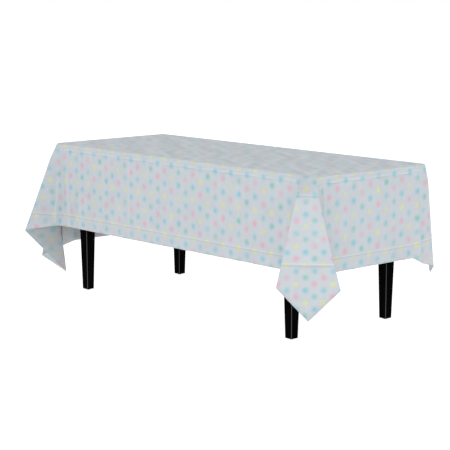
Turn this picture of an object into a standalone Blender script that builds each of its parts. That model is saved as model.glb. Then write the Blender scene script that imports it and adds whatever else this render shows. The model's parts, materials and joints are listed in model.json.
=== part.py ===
"""A rectangular wooden table under a film tablecloth whose corners hang in folded flaps.

Metres, +Z up. The origin is on the floor under the table's centre, +X runs along the table's length
and the front is -Y. Every sub-part is its own object, and the tablecloth lifts straight off along +Z.
"""

import math

import bmesh
import bpy
import numpy as np
from mathutils import Matrix, Vector

# Table
TOP_LENGTH = 1.83
TOP_WIDTH = 0.694
TOP_THICKNESS = 0.036
TOP_CORNER_RADIUS = 0.020
TOP_CORNER_STEPS = 4
TOP_EDGE_ROUND = 0.006
TOP_EDGE_STEPS = 3
TOP_UPPER_FACE = 0.7325
GAP = 0.0003

# Legs: square and straight beside the aprons, then tapered on all four sides
LEG_SQUARE = 0.070
LEG_FOOT = 0.042
LEG_STRAIGHT = 0.085
LEG_CHAMFER = 0.003
LEG_FOOT_CHAMFER = 0.0015
LEG_FROM_END = 0.182
LEG_FROM_SIDE = 0.043

# Aprons and the rail across the middle
APRON_HEIGHT = 0.070
APRON_THICKNESS = 0.020
APRON_SETBACK = 0.008
RAIL_THICKNESS = 0.018
RAIL_HEIGHT = 0.060
BOARD_BEVEL = 0.0015

# Glides nailed under the legs
GLIDE_RADIUS = 0.011
GLIDE_FLAT_RADIUS = 0.0077
GLIDE_HEIGHT = 0.005
GLIDE_RIM_HEIGHT = 0.00282
GLIDE_NAIL_RADIUS = 0.0012
GLIDE_NAIL_LENGTH = 0.014
GLIDE_NAIL_POINT = 0.0028

# Steel corner brackets, the hanger bolts through them, washers and nuts
PLATE = 0.0025
BRACKET_HEIGHT = 0.050
BRACKET_FLANGE = 0.026
BRACKET_CLEAR_OF_LEG = 0.008
BRACKET_SCREW_FROM_BEND = 0.0156
BOLT_RADIUS = 0.004
BOLT_END_CHAMFER = 0.001
BOLT_IN_LEG = 0.032
BOLT_PAST_NUT = 0.008
WASHER_RADIUS = 0.010
WASHER_THICKNESS = 0.0016
NUT_ACROSS_FLATS = 0.013
NUT_THICKNESS = 0.0065
NUT_SIDES = 6
NUT_SIDE_STEPS = 3
RUNNING = 0.0004

# Angle clips that hold the top to the long aprons, and the wood screws
CLIP_LEG = 0.024
CLIP_WIDTH = 0.024
CLIP_PLATE = 0.002
CLIP_SPREAD = 0.50
CLIP_BESIDE_RAIL = 0.050
CLIP_TOP_SCREW_FROM_BEND = 0.0144
CLIP_APRON_SCREW_FROM_BEND = 0.0156
SCREW_SHANK = 0.0019
SCREW_LENGTH = 0.013
SCREW_POINT = 0.003
SCREW_HEAD = 0.0038
SCREW_HEAD_FLAT = 0.0023
SCREW_HEAD_HEIGHT = 0.0022
SCREW_HEAD_SHOULDER = 0.0020
SCREW_HEAD_SIDE = 0.0008

# Tablecloth: drops are measured down from its own upper face
CLOTH_WALL = 0.002
CLOTH_CLEARANCE = 0.0005
SIDE_DROP = 0.422
END_DROP_RIGHT = 0.422
END_DROP_LEFT = 0.512
KNEE_BELOW_ARRIS = 0.042
CREASE_ABOVE_HEM = 0.0585
FLAP_CREASE_BELOW = 0.358
INNER_MARGIN = 0.045

# How softly the cloth turns, as half the width of each rounding
EDGE_SOFT = 0.008
LINE_SOFT = 0.004
FOLD_SOFT = 0.006
VALLEY_SOFT = 0.012
PANEL_SOFT = 0.015
RIM_CORNER_SOFT = 0.026

SOFT_SAMPLES = 7

ROUND_SEGMENTS = 12
SCREW_SEGMENTS = 8
SMOOTH_ANGLE = math.radians(35)
CORNER_ANGLE = math.radians(60)
CUTTER_OVERRUN = 0.25

CLOTH_TOP = TOP_UPPER_FACE + CLOTH_CLEARANCE + CLOTH_WALL
TOP_LOWER_FACE = TOP_UPPER_FACE - TOP_THICKNESS
# The cloth leaves the board's side a quarter of the way into its lower rounding
ARRIS_BELOW = TOP_THICKNESS + CLOTH_CLEARANCE + CLOTH_WALL - TOP_EDGE_ROUND / 4
KNEE_BELOW = ARRIS_BELOW + KNEE_BELOW_ARRIS
FRAME_TOP = TOP_LOWER_FACE - GAP
HALF_LENGTH = TOP_LENGTH / 2
HALF_WIDTH = TOP_WIDTH / 2
LEG_X = HALF_LENGTH - LEG_FROM_END
LEG_Y = HALF_WIDTH - LEG_FROM_SIDE
LEG_HALF = LEG_SQUARE / 2
APRON_OUTER_X = LEG_X + LEG_HALF - APRON_SETBACK
APRON_OUTER_Y = LEG_Y + LEG_HALF - APRON_SETBACK
APRON_INNER_X = APRON_OUTER_X - APRON_THICKNESS
APRON_INNER_Y = APRON_OUTER_Y - APRON_THICKNESS
APRON_MIDDLE_Z = FRAME_TOP - APRON_HEIGHT / 2
CORNERS = {
    "front_right": (1, -1),
    "back_right": (1, 1),
    "back_left": (-1, 1),
    "front_left": (-1, -1),
}


# ---------------------------------------------------------------- helpers

def clear_scene():
    for old in list(bpy.data.objects):
        bpy.data.objects.remove(old, do_unlink=True)


def material(name, colour, roughness, metallic=0.0):
    made = bpy.data.materials.new(name)
    made.use_nodes = True
    shader = made.node_tree.nodes["Principled BSDF"]
    shader.inputs["Base Color"].default_value = (*colour, 1.0)
    shader.inputs["Roughness"].default_value = roughness
    shader.inputs["Metallic"].default_value = metallic
    made.diffuse_color = (*colour, 1.0)
    return made


def link_mesh(name, mesh, finish):
    piece = bpy.data.objects.new(name, mesh)
    bpy.context.scene.collection.objects.link(piece)
    if finish is not None:
        mesh.materials.append(finish)
    return piece


def from_bmesh(name, bm, finish, smooth=False):
    """Turns the faces outwards and links the mesh as one named object."""
    bmesh.ops.recalc_face_normals(bm, faces=bm.faces)
    mesh = bpy.data.meshes.new(name)
    bm.to_mesh(mesh)
    bm.free()
    if smooth:
        mesh.shade_smooth()
        mesh.set_sharp_from_angle(angle=SMOOTH_ANGLE)
    return link_mesh(name, mesh, finish)


def box(name, size, centre, finish, bevel=0.0):
    bm = bmesh.new()
    bmesh.ops.create_cube(bm, size=1.0)
    bmesh.ops.scale(bm, vec=size, verts=bm.verts)
    piece = from_bmesh(name, bm, finish)
    piece.location = centre
    if bevel:
        round_edges(piece, bevel, 1)
    return piece


def round_edges(piece, width, segments):
    bevel = piece.modifiers.new("edges", "BEVEL")
    bevel.width = width
    bevel.segments = segments
    bevel.limit_method = "ANGLE"


def loft(rings):
    """Joins equal rings of points in order and closes both ends."""
    bm = bmesh.new()
    loops = [[bm.verts.new(point) for point in ring] for ring in rings]
    count = len(loops[0])
    for lower, upper in zip(loops, loops[1:]):
        for i in range(count):
            j = (i + 1) % count
            bm.faces.new((lower[i], lower[j], upper[j], upper[i]))
    bm.faces.new(loops[0])
    bm.faces.new(loops[-1])
    return bm


def prism(outline, low, high):
    """A plan outline of (x, y) points drawn out from low to high."""
    return loft([[(x, y, z) for x, y in outline] for z in (low, high)])


def turned(profile, segments=ROUND_SEGMENTS):
    """A solid turned about Z from (radius, height) points; a zero radius closes an end."""
    bm = bmesh.new()
    angles = [2 * math.pi * i / segments for i in range(segments)]
    rings = []
    for radius, height in profile:
        if radius == 0:
            rings.append([bm.verts.new((0, 0, height))])
        else:
            rings.append([bm.verts.new((radius * math.cos(a), radius * math.sin(a), height)) for a in angles])
    for lower, upper in zip(rings, rings[1:]):
        for i in range(segments):
            j = (i + 1) % segments
            corners = [lower[i % len(lower)], lower[j % len(lower)], upper[j % len(upper)], upper[i % len(upper)]]
            bm.faces.new(list(dict.fromkeys(corners)))
    return bm


def ring_solid(outer, inner, thickness, sides, bore_segments):
    """A flat ring from z = 0 to its thickness: an outline of given sides with a round bore."""
    bm = bmesh.new()
    count = sides * bore_segments
    loops = []
    for radius, flat in ((outer, True), (inner, False)):
        for z in (0.0, thickness):
            loops.append([bm.verts.new(ring_point(radius, flat, sides, i / count, z)) for i in range(count)])
    outer_low, outer_high, inner_low, inner_high = loops
    for i in range(count):
        j = (i + 1) % count
        bm.faces.new((outer_low[i], outer_low[j], outer_high[j], outer_high[i]))
        bm.faces.new((inner_low[j], inner_low[i], inner_high[i], inner_high[j]))
        bm.faces.new((outer_high[i], outer_high[j], inner_high[j], inner_high[i]))
        bm.faces.new((outer_low[j], outer_low[i], inner_low[i], inner_low[j]))
    return bm


def ring_point(radius, flat, sides, share, z):
    """A point at a share of the way round: on a circle, or on a polygon of that corner radius."""
    angle = 2 * math.pi * share
    if flat:
        sector = math.pi / sides
        radius *= math.cos(sector) / math.cos(angle % (2 * sector) - sector)
    return (radius * math.cos(angle), radius * math.sin(angle), z)


def aim(direction, at):
    """The transform that stands a piece's own +Z along a direction, at a point."""
    turn = Vector((0, 0, 1)).rotation_difference(Vector(direction)).to_matrix().to_4x4()
    return Matrix.Translation(at) @ turn


def drill(target, holes):
    """Cuts round holes, each (mouth point, direction into the wood, radius, depth), out of a piece."""
    bm = bmesh.new()
    for at, direction, radius, depth in holes:
        mouth = -depth * CUTTER_OVERRUN
        hole = turned([(0, mouth), (radius, mouth), (radius, depth), (0, depth)])
        hole.transform(aim(direction, at))
        mesh = bpy.data.meshes.new("hole")
        hole.to_mesh(mesh)
        hole.free()
        bm.from_mesh(mesh)
    cutter = from_bmesh("cut_" + target.name, bm, None)
    cutter.hide_render = True
    cutter.display_type = "WIRE"
    cut = target.modifiers.new("holes", "BOOLEAN")
    cut.operation = "DIFFERENCE"
    cut.solver = "EXACT"
    cut.object = cutter


# ---------------------------------------------------------------- table top and frame

def make_top(finish, screw_holes):
    outline = []
    for sign_x, sign_y, start in ((1, 1, 0), (-1, 1, 90), (-1, -1, 180), (1, -1, 270)):
        for step in range(TOP_CORNER_STEPS + 1):
            angle = math.radians(start + step * 90 / TOP_CORNER_STEPS)
            x = sign_x * (HALF_LENGTH - TOP_CORNER_RADIUS) + TOP_CORNER_RADIUS * math.cos(angle)
            y = sign_y * (HALF_WIDTH - TOP_CORNER_RADIUS) + TOP_CORNER_RADIUS * math.sin(angle)
            outline.append((x, y))
    top = from_bmesh("table_top", prism(outline, TOP_LOWER_FACE, TOP_UPPER_FACE), finish)
    round_edges(top, TOP_EDGE_ROUND, TOP_EDGE_STEPS)
    top.modifiers["edges"].angle_limit = CORNER_ANGLE
    drill(top, screw_holes)


def make_aprons(finish, screw_holes):
    long_length = 2 * (LEG_X - LEG_HALF - GAP)
    end_length = 2 * (LEG_Y - LEG_HALF - GAP)
    for name, sign in (("front_apron", -1), ("back_apron", 1)):
        centre = (0, sign * (APRON_OUTER_Y - APRON_THICKNESS / 2), APRON_MIDDLE_Z)
        apron = box(name, (long_length, APRON_THICKNESS, APRON_HEIGHT), centre, finish, BOARD_BEVEL)
        drill(apron, screw_holes[name])
    for name, sign in (("left_apron", -1), ("right_apron", 1)):
        centre = (sign * (APRON_OUTER_X - APRON_THICKNESS / 2), 0, APRON_MIDDLE_Z)
        apron = box(name, (APRON_THICKNESS, end_length, APRON_HEIGHT), centre, finish, BOARD_BEVEL)
        drill(apron, screw_holes[name])


def make_rail(finish):
    size = (RAIL_THICKNESS, 2 * (APRON_INNER_Y - GAP), RAIL_HEIGHT)
    box("centre_rail", size, (0, 0, FRAME_TOP - RAIL_HEIGHT / 2), finish, BOARD_BEVEL)


def leg_ring(side, z):
    """A square with its corners cut off, in plan."""
    half, inner = side / 2, side / 2 - LEG_CHAMFER
    corners = ((half, inner), (inner, half), (-inner, half), (-half, inner))
    corners += ((-half, -inner), (-inner, -half), (inner, -half), (half, -inner))
    return [(x, y, z) for x, y in corners]


def make_leg(name, sign, finish):
    sections = (
        (LEG_FOOT - 2 * LEG_FOOT_CHAMFER, GLIDE_HEIGHT),
        (LEG_FOOT, GLIDE_HEIGHT + LEG_FOOT_CHAMFER),
        (LEG_SQUARE, FRAME_TOP - LEG_STRAIGHT),
        (LEG_SQUARE, FRAME_TOP),
    )
    leg = from_bmesh("leg_" + name, loft([leg_ring(side, z) for side, z in sections]), finish)
    centre = Vector((sign[0] * LEG_X, sign[1] * LEG_Y, 0))
    leg.location = centre
    inward = inward_direction(sign)
    mouth = centre + inward * (LEG_SQUARE / math.sqrt(2) - LEG_CHAMFER) + Vector((0, 0, bolt_height()))
    bolt_hole = (mouth, -inward, BOLT_RADIUS + RUNNING, BOLT_IN_LEG + RUNNING)
    nail_mouth = centre + Vector((0, 0, GLIDE_HEIGHT))
    nail_hole = (nail_mouth, (0, 0, 1), GLIDE_NAIL_RADIUS + GAP, GLIDE_NAIL_LENGTH + RUNNING)
    drill(leg, [bolt_hole, nail_hole])


def inward_direction(sign):
    return Vector((-sign[0], -sign[1], 0)).normalized()


def bolt_height():
    return FRAME_TOP - APRON_HEIGHT / 2


def web_distance():
    """How far the bracket's web stands from the leg's own axis, along the diagonal."""
    return LEG_HALF * math.sqrt(2) + BRACKET_CLEAR_OF_LEG


# ---------------------------------------------------------------- leg fixings

def web_ends(offset):
    """Where the web's line, an offset further in, meets the flanges' middle planes, from the leg's axis."""
    run = (web_distance() + offset) * math.sqrt(2)
    y_flange = LEG_Y - APRON_INNER_Y + GAP + PLATE / 2
    x_flange = LEG_X - APRON_INNER_X + GAP + PLATE / 2
    return (run - y_flange, y_flange), (x_flange, run - x_flange)


def bracket_outline():
    """The folded plate in plan for one corner, as distances inward from the leg's axis."""
    long_end, short_end = web_ends(0)
    path = [(long_end[0] + BRACKET_FLANGE, long_end[1]), long_end, short_end,
            (short_end[0], short_end[1] + BRACKET_FLANGE)]
    return thick_line(path, PLATE)


def thick_line(path, thickness):
    """The closed outline of a bent strip: its path moved half the thickness to each side, mitred."""
    points = [Vector(p) for p in path]
    left, right = [], []
    for i, point in enumerate(points):
        before = (points[i] - points[i - 1]).normalized() if i else None
        after = (points[i + 1] - points[i]).normalized() if i + 1 < len(points) else None
        normals = [Vector((-d.y, d.x)) for d in (before, after) if d is not None]
        mitre = sum(normals, Vector((0, 0))).normalized()
        reach = thickness / 2 / mitre.dot(normals[0])
        left.append(point + mitre * reach)
        right.append(point - mitre * reach)
    return [(p.x, p.y) for p in left + right[::-1]]


def make_bracket(name, sign, finish):
    middle = bolt_height()
    outline = [(sign[0] * (LEG_X - dx), sign[1] * (LEG_Y - dy)) for dx, dy in bracket_outline()]
    bm = prism(outline, middle - BRACKET_HEIGHT / 2, middle + BRACKET_HEIGHT / 2)
    bracket = from_bmesh("corner_bracket_" + name, bm, finish)
    inward = inward_direction(sign)
    axis = Vector((sign[0] * LEG_X, sign[1] * LEG_Y, middle))
    bolt_hole = (axis + inward * (web_distance() - PLATE), inward, BOLT_RADIUS + RUNNING, 3 * PLATE)
    holes = [bolt_hole]
    for screw_name, (at, direction) in bracket_screws(name, sign).items():
        holes.append((at - Vector(direction) * PLATE / 2, direction, SCREW_SHANK + RUNNING, 3 * PLATE))
    drill(bracket, holes)


def bracket_screws(name, sign):
    """Each bracket's two screws: where the head's underside sits, and which way the screw points."""
    long_end, short_end = web_ends(0)
    z = bolt_height()
    along_x = long_end[0] + BRACKET_SCREW_FROM_BEND
    along_y = short_end[1] + BRACKET_SCREW_FROM_BEND
    face_y = APRON_INNER_Y - GAP - PLATE - GAP
    face_x = APRON_INNER_X - GAP - PLATE - GAP
    return {
        f"bracket_screw_{name}_a": (Vector((sign[0] * (LEG_X - along_x), sign[1] * face_y, z)), (0, sign[1], 0)),
        f"bracket_screw_{name}_b": (Vector((sign[0] * face_x, sign[1] * (LEG_Y - along_y), z)), (sign[0], 0, 0)),
    }


def make_leg_fixings(name, sign, finish):
    inward = inward_direction(sign)
    axis = Vector((sign[0] * LEG_X, sign[1] * LEG_Y, bolt_height()))
    leg_face = LEG_SQUARE / math.sqrt(2) - LEG_CHAMFER
    washer_at = web_distance() + PLATE / 2 + GAP
    nut_at = washer_at + WASHER_THICKNESS + GAP
    bolt_end = nut_at + NUT_THICKNESS + BOLT_PAST_NUT
    length = bolt_end - leg_face + BOLT_IN_LEG
    end_radius = BOLT_RADIUS - BOLT_END_CHAMFER
    profile = [(0, 0), (end_radius, 0), (BOLT_RADIUS, BOLT_END_CHAMFER),
               (BOLT_RADIUS, length - BOLT_END_CHAMFER), (end_radius, length), (0, length)]
    bolt = from_bmesh("leg_bolt_" + name, turned(profile), finish, smooth=True)
    bolt.matrix_world = aim(inward, axis + inward * (leg_face - BOLT_IN_LEG))
    washer_bm = ring_solid(WASHER_RADIUS, BOLT_RADIUS + RUNNING, WASHER_THICKNESS, ROUND_SEGMENTS, 1)
    washer = from_bmesh("bolt_washer_" + name, washer_bm, finish)
    washer.matrix_world = aim(inward, axis + inward * washer_at)
    corner_radius = NUT_ACROSS_FLATS / math.sqrt(3)
    nut_bm = ring_solid(corner_radius, BOLT_RADIUS + RUNNING, NUT_THICKNESS, NUT_SIDES, NUT_SIDE_STEPS)
    nut = from_bmesh("bolt_nut_" + name, nut_bm, finish)
    nut.matrix_world = aim(inward, axis + inward * nut_at)


def make_glide(name, sign, finish):
    top = GLIDE_HEIGHT - GAP
    nail_end = top + GLIDE_NAIL_LENGTH
    profile = [(0, 0), (GLIDE_FLAT_RADIUS, 0), (GLIDE_RADIUS, GLIDE_RIM_HEIGHT), (GLIDE_RADIUS, top),
               (GLIDE_NAIL_RADIUS, top), (GLIDE_NAIL_RADIUS, nail_end - GLIDE_NAIL_POINT), (0, nail_end)]
    glide = from_bmesh("floor_glide_" + name, turned(profile), finish, smooth=True)
    glide.location = (sign[0] * LEG_X, sign[1] * LEG_Y, 0)


# ---------------------------------------------------------------- top clips and screws

def clip_places():
    middle = RAIL_THICKNESS / 2 + CLIP_BESIDE_RAIL
    return {"1": -CLIP_SPREAD, "2": middle, "3": CLIP_SPREAD}


def clip_screws():
    """Each clip's two screws: one up into the top and one out into the apron."""
    found = {}
    for side, sign in (("front", -1), ("back", 1)):
        apron_face = APRON_INNER_Y - GAP
        for number, x in clip_places().items():
            up_y = sign * (apron_face - CLIP_TOP_SCREW_FROM_BEND)
            up_at = Vector((x, up_y, FRAME_TOP - CLIP_PLATE - GAP))
            out_y = sign * (apron_face - CLIP_PLATE - GAP)
            out_at = Vector((x, out_y, FRAME_TOP - CLIP_APRON_SCREW_FROM_BEND))
            found[f"top_screw_{side}_{number}"] = (up_at, (0, 0, 1))
            found[f"apron_screw_{side}_{number}"] = (out_at, (0, sign, 0))
    return found


def make_clip(place, x, sign, finish):
    face = APRON_INNER_Y - GAP
    mid = CLIP_PLATE / 2
    path = [(face - CLIP_LEG, FRAME_TOP - mid), (face - mid, FRAME_TOP - mid), (face - mid, FRAME_TOP - CLIP_LEG)]
    outline = thick_line(path, CLIP_PLATE)
    rings = [[(x + dx, sign * y, z) for y, z in outline] for dx in (-CLIP_WIDTH / 2, CLIP_WIDTH / 2)]
    clip = from_bmesh("top_clip_" + place, loft(rings), finish)
    screws = clip_screws()
    holes = []
    for kind in ("top_screw", "apron_screw"):
        at, direction = screws[f"{kind}_{place}"]
        holes.append((at - Vector(direction) * CLIP_PLATE, direction, SCREW_SHANK + RUNNING, 3 * CLIP_PLATE))
    drill(clip, holes)


def screw_hole(at, direction, face_offset):
    """The pilot hole for a screw, starting at the wood's face."""
    depth = SCREW_LENGTH + SCREW_POINT - face_offset + RUNNING
    return (at + Vector(direction) * face_offset, direction, SCREW_SHANK + RUNNING, depth)


def make_screw(name, at, direction, finish):
    profile = [(0, -SCREW_HEAD_HEIGHT), (SCREW_HEAD_FLAT, -SCREW_HEAD_SHOULDER), (SCREW_HEAD, -SCREW_HEAD_SIDE),
               (SCREW_HEAD, -GAP), (SCREW_SHANK, -GAP), (SCREW_SHANK, SCREW_LENGTH),
               (0, SCREW_LENGTH + SCREW_POINT)]
    screw = from_bmesh(name, turned(profile, SCREW_SEGMENTS), finish, smooth=True)
    screw.matrix_world = aim(direction, at)


# ---------------------------------------------------------------- tablecloth

def corner_folds():
    """The folds of each corner, met while walking round the hem with the table on the left.

    A fold is (rim, knee, hem, softness). Each point gives the distance past the table's corner along
    the side just walked, the distance out from that side and, for knee and hem, the height below the
    cloth's top. A knee of None lies on the straight line from rim to hem.
    """
    side, right, left = -SIDE_DROP, -END_DROP_RIGHT, -END_DROP_LEFT
    knee = -KNEE_BELOW
    return {
        "front_right": [
            ((-0.20, 0), None, (-0.20, 0, side), PANEL_SOFT),
            ((-0.092, 0), (-0.066, 0.001, knee), (-0.022, 0.001, side), VALLEY_SOFT),
            ((-0.087, 0), (-0.033, 0.082, knee), (-0.010, 0.222, side - 0.022), FOLD_SOFT),
            ((-0.043, 0), (0.001, 0.050, knee), (0.114, 0.154, side - 0.156), 0),
            ((0, 0), (0.035, 0.018, knee), (0.192, 0.0415, side - 0.029), FOLD_SOFT),
            ((0, -0.056), (0.003, -0.050, knee), (0.001, -0.034, right), VALLEY_SOFT),
            ((0, -0.18), None, (0, -0.18, right), PANEL_SOFT),
        ],
        "back_right": [
            ((-0.18, 0), None, (-0.18, 0, right), PANEL_SOFT),
            ((-0.07, 0), None, (-0.072, 0.002, right), PANEL_SOFT),
            ((-0.035, 0), (-0.030, 0.003, knee), (-0.030, 0.013, right - 0.026), PANEL_SOFT),
            ((0, 0), (0.020, 0.004, knee), (0.128, -0.046, side - 0.068), FOLD_SOFT),
            ((0, -0.03), None, (0.200, -0.129, side - 0.118), 0),
            ((0, -0.06), None, (0.206, -0.155, side - 0.038), FOLD_SOFT),
            ((0, -0.085), None, (0.001, -0.190, side), VALLEY_SOFT),
            ((0, -0.32), None, (0, -0.32, side), PANEL_SOFT),
        ],
        "back_left": [
            ((-0.20, 0), None, (-0.20, 0, side), PANEL_SOFT),
            ((-0.092, 0), (-0.066, 0.001, knee), (-0.022, 0.001, side), VALLEY_SOFT),
            ((-0.087, 0), (-0.033, 0.082, knee), (-0.010, 0.222, side - 0.022), FOLD_SOFT),
            ((-0.043, 0), (0.001, 0.050, knee), (0.114, 0.154, left - 0.100), 0),
            ((0, 0), (0.035, 0.018, knee), (0.192, 0.0415, left - 0.025), FOLD_SOFT),
            ((0, -0.056), (0.003, -0.050, knee), (0.001, -0.034, left), VALLEY_SOFT),
            ((0, -0.18), None, (0, -0.18, left), PANEL_SOFT),
        ],
        "front_left": [
            ((-0.24, 0), None, (-0.24, 0, left), PANEL_SOFT),
            ((-0.075, 0), (-0.074, 0.001, knee), (-0.100, 0.002, left), VALLEY_SOFT),
            ((-0.055, 0), (-0.040, 0.050, knee), (0.0, 0.155, left - 0.086), FOLD_SOFT),
            ((-0.028, 0), (0.002, 0.030, knee), (-0.091, 0.0655, left - 0.1715), 0),
            ((0, 0), (0.040, 0.009, knee), (0.158, 0.075, side - 0.018), FOLD_SOFT),
            ((0, -0.035), (0.003, -0.020, knee), (0.003, 0.0295, side - 0.008), VALLEY_SOFT),
            ((0, -0.07), None, (0.001, -0.02, side), PANEL_SOFT),
            ((0, -0.15), None, (0, -0.15, side), PANEL_SOFT),
        ],
    }


# Level marks: distance down the cloth from the innermost ring to each shaping level
LEVELS = np.array([0.0, INNER_MARGIN, INNER_MARGIN + ARRIS_BELOW, INNER_MARGIN + KNEE_BELOW,
                   INNER_MARGIN + SIDE_DROP - CREASE_ABOVE_HEM, INNER_MARGIN + SIDE_DROP])
LEVEL_SOFT = np.array([0.0, EDGE_SOFT, LINE_SOFT, LINE_SOFT, LINE_SOFT, 0.0])
CORNER_ORDER = ("front_right", "back_right", "back_left", "front_left")
WALK = {"front_right": ((1, 0), (0, -1)), "back_right": ((0, 1), (1, 0)),
        "back_left": ((-1, 0), (0, 1)), "front_left": ((0, -1), (-1, 0))}
OUT_FROM_TABLE = CLOTH_CLEARANCE + CLOTH_WALL


def to_world(name, along, out, below):
    """A fold's own distances as a point in the table's frame."""
    sign = np.array(CORNERS[name], float)
    walk, outward = (np.array(d, float) for d in WALK[name])
    corner = sign * (np.array([HALF_LENGTH, HALF_WIDTH]) + OUT_FROM_TABLE)
    plan = corner + along * walk + out * outward
    return np.array([plan[0], plan[1], CLOTH_TOP + below])


def inner_point(name, along, out):
    """The ring on the table's upper face: the rim moved in by the margin."""
    half = np.array([HALF_LENGTH, HALF_WIDTH]) + OUT_FROM_TABLE - INNER_MARGIN
    rim = to_world(name, along, out, 0)
    return np.array([*np.clip(rim[:2], -half, half), CLOTH_TOP])


def levels_of(name, fold):
    """One fold's point at every level, from the inner ring to the hem."""
    rim, knee, hem, _ = fold
    top = np.array([rim[0], rim[1], 0.0])
    foot = np.array(hem)
    bend = np.array(knee) if knee else top + (foot - top) * KNEE_BELOW / -foot[2]
    arris = top + (bend - top) * ARRIS_BELOW / -bend[2]
    flap = abs(hem[1]) > abs(rim[1]) + FOLD_SOFT
    crease_below = FLAP_CREASE_BELOW if flap else -foot[2] - CREASE_ABOVE_HEM
    crease = bend + (foot - bend) * (crease_below + bend[2]) / (bend[2] - foot[2])
    own = [to_world(name, *point) for point in (top, arris, bend, crease, foot)]
    return [inner_point(name, *rim), *own]


def softened(points, marks, at, softness):
    """A line through points at their marks, read at places and averaged over plus and minus a softness."""
    offsets = np.linspace(-1, 1, SOFT_SAMPLES)
    places = at[:, None] + softness[:, None] * offsets
    return np.stack([np.interp(places, marks, points[:, axis]).mean(1) for axis in range(3)], 1)


def hem_marks(folds):
    """The distance round the hem to each fold, and the whole way round."""
    hem = np.array([levels[-1] for levels in folds])
    steps = np.linalg.norm(np.roll(hem, -1, 0) - hem, axis=1)
    return np.concatenate([[0], np.cumsum(steps)])


def column_marks(marks, soft):
    """Where the columns of the mesh stand: at each fold, at its rounding's edges and between."""
    places = []
    for start, end, before, after in zip(marks, marks[1:], soft, np.roll(soft, -1)):
        places += [start, start + before, (start + end) / 2, end - after]
    return np.unique(np.round(places, 6))


def row_marks():
    """Where the rows stand: close together over the table's edge, then at each shaping level."""
    near = LEVELS[1] + EDGE_SOFT * np.array([-1, -0.5, 0, 0.5, 1])
    knee = LEVELS[3] + LINE_SOFT * np.array([-1, 1])
    middle = (LEVELS[3] + LEVELS[4]) / 2
    return np.array([0, *near, LEVELS[2], *knee, middle, LEVELS[4], LEVELS[5]])


def cloth_grid():
    """Points of the cloth's outer face, as columns round the table by rows down to the hem."""
    names = [(name, fold) for name in CORNER_ORDER for fold in corner_folds()[name]]
    folds = np.array([levels_of(name, fold) for name, fold in names])
    soft = np.array([fold[3] for _, fold in names])
    marks = hem_marks(folds)
    columns = column_marks(marks, soft)[:-1]
    ring = marks[-1]
    wrapped = np.concatenate([marks[:-1] - ring, marks[:-1], marks[:-1] + ring])
    hem_soft = np.interp(columns, wrapped, np.tile(soft, 3))
    rim_own = [RIM_CORNER_SOFT if fold[0] == (0, 0) else fold[3] for _, fold in names]
    rim_corner = np.interp(columns, wrapped, np.tile(rim_own, 3))
    rails = []
    for level in range(len(LEVELS)):
        share = level / (len(LEVELS) - 1)
        softness = rim_corner * (1 - share) + hem_soft * share
        rails.append(softened(np.tile(folds[:, level], (3, 1)), wrapped, columns, softness))
    rows = row_marks()
    row_soft = np.interp(rows, LEVELS, LEVEL_SOFT)
    rails = np.stack(rails, 1)
    return np.stack([softened(rail, LEVELS, rows, row_soft) for rail in rails])


def make_cloth(finish):
    grid = cloth_grid()
    columns, rows, _ = grid.shape
    index = np.arange(columns * rows).reshape(columns, rows)
    beside = np.roll(index, -1, 0)
    quads = np.stack([index[:, :-1], index[:, 1:], beside[:, 1:], beside[:, :-1]], -1).reshape(-1, 4)
    mesh = bpy.data.meshes.new("tablecloth")
    mesh.from_pydata(grid.reshape(-1, 3).tolist(), [], quads.tolist() + [index[:, 0].tolist()])
    mesh.validate()
    bm = bmesh.new()
    bm.from_mesh(mesh)
    bmesh.ops.recalc_face_normals(bm, faces=bm.faces)
    if max(bm.faces, key=lambda face: face.calc_area()).normal.z < 0:
        bmesh.ops.reverse_faces(bm, faces=bm.faces)
    bm.to_mesh(mesh)
    bm.free()
    mesh.shade_smooth()
    cloth = link_mesh("tablecloth", mesh, finish)
    wall = cloth.modifiers.new("wall", "SOLIDIFY")
    wall.thickness = CLOTH_WALL
    wall.offset = -1
    wall.use_even_offset = False


# ---------------------------------------------------------------- assembly

def main():
    clear_scene()
    film = material("printed_film", (0.56, 0.60, 0.63), 0.45)
    board = material("board", (0.52, 0.40, 0.27), 0.6)
    black = material("black_lacquer", (0.004, 0.004, 0.004), 0.25)
    steel = material("zinc_steel", (0.55, 0.56, 0.57), 0.4, 1.0)
    nylon = material("glide_nylon", (0.05, 0.05, 0.05), 0.5)

    screws = clip_screws()
    top_holes = [screw_hole(*place, CLIP_PLATE + GAP) for name, place in screws.items() if name.startswith("top")]
    apron_holes = {name: [] for name in ("front_apron", "back_apron", "left_apron", "right_apron")}
    for name, place in screws.items():
        if name.startswith("apron"):
            apron_holes[name.split("_")[2] + "_apron"].append(screw_hole(*place, CLIP_PLATE + GAP))
    for corner, sign in CORNERS.items():
        found = bracket_screws(corner, sign)
        front_or_back, left_or_right = corner.split("_")
        a, b = found[f"bracket_screw_{corner}_a"], found[f"bracket_screw_{corner}_b"]
        apron_holes[front_or_back + "_apron"].append(screw_hole(*a, PLATE + GAP))
        apron_holes[left_or_right + "_apron"].append(screw_hole(*b, PLATE + GAP))
        screws.update(found)

    make_top(board, top_holes)
    make_aprons(black, apron_holes)
    make_rail(board)
    for corner, sign in CORNERS.items():
        make_leg(corner, sign, black)
        make_bracket(corner, sign, steel)
        make_leg_fixings(corner, sign, steel)
        make_glide(corner, sign, nylon)
    for side, sign in (("front", -1), ("back", 1)):
        for number, x in clip_places().items():
            make_clip(f"{side}_{number}", x, sign, steel)
    for name, (at, direction) in screws.items():
        make_screw(name, at, direction, steel)
    make_cloth(film)


main()
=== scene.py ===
"""A film tablecloth with pastel dots, hanging over a wooden table with black tapered legs.

The cloth is one surface worked out on a grid that runs round the table by down the cloth. The table's
own parts keep their CAD shapes and get their finishes here. Metres, +Z up, the front is -Y.
"""
import json
import math

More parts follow.
